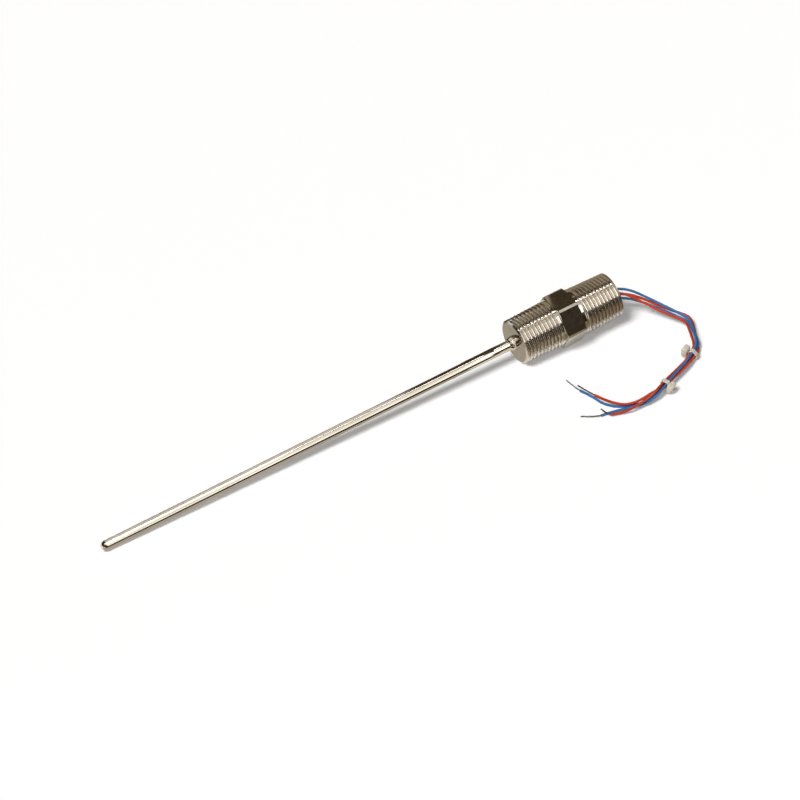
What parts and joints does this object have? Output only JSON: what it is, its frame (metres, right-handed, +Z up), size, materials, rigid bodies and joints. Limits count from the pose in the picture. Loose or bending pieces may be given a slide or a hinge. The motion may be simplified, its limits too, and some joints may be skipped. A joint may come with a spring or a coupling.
{
  "type": "thermocouple probe with hex nipple",
  "caption": "Straight round-tipped metal-sheathed temperature probe welded into a double-ended hex pipe nipple, with red and blue leads tied in a bundle and stripped at their ends.",
  "frame": {"origin": "bottom centre of the box round the rigid probe, on the floor that it lies on", "axes": "+X along the probe from its tip to its rear end, +Z up from the floor, +Y to the left of +X"},
  "size_m": [0.2893, 0.0744, 0.0226],
  "materials": {
    "nipple_steel": "turned and bright, warm",
    "sheath_steel": "drawn and bright, warm",
    "weld_steel": "rippled weld",
    "mineral_powder": "packed powder",
    "epoxy": "cast",
    "copper": "drawn wire",
    "constantan": "drawn wire",
    "sleeve_plastic": "shrunk sleeve",
    "red_insulation": "smooth extruded insulation",
    "blue_insulation": "smooth extruded insulation",
    "bare_dark": "oxidised stranded wire",
    "bare_tinned": "dull stranded wire",
    "tie_nylon": "natural, slightly translucent"
  },
  "bodies": {
    "root": {"hex_nipple": "nipple_steel", "probe_sheath": "sheath_steel", "weld_bead": "weld_steel", "mineral_insulation": "mineral_powder", "sheath_end_seal": "epoxy", "potting_compound": "epoxy", "measuring_junction_1": "constantan", "measuring_junction_2": "constantan", "conductor_red_1": "constantan", "splice_sleeve_red_1": "sleeve_plastic", "lead_red_1": "red_insulation", "bare_end_red_1": "bare_dark", "conductor_blue_1": "copper", "splice_sleeve_blue_1": "sleeve_plastic", "lead_blue_1": "blue_insulation", "bare_end_blue_1": "bare_tinned", "conductor_blue_2": "copper", "splice_sleeve_blue_2": "sleeve_plastic", "lead_blue_2": "blue_insulation", "bare_end_blue_2": "bare_tinned", "conductor_red_2": "constantan", "splice_sleeve_red_2": "sleeve_plastic", "lead_red_2": "red_insulation", "bare_end_red_2": "bare_dark", "cable_tie_1": "tie_nylon", "cable_tie_2": "tie_nylon"}
  },
  "joints": []
}
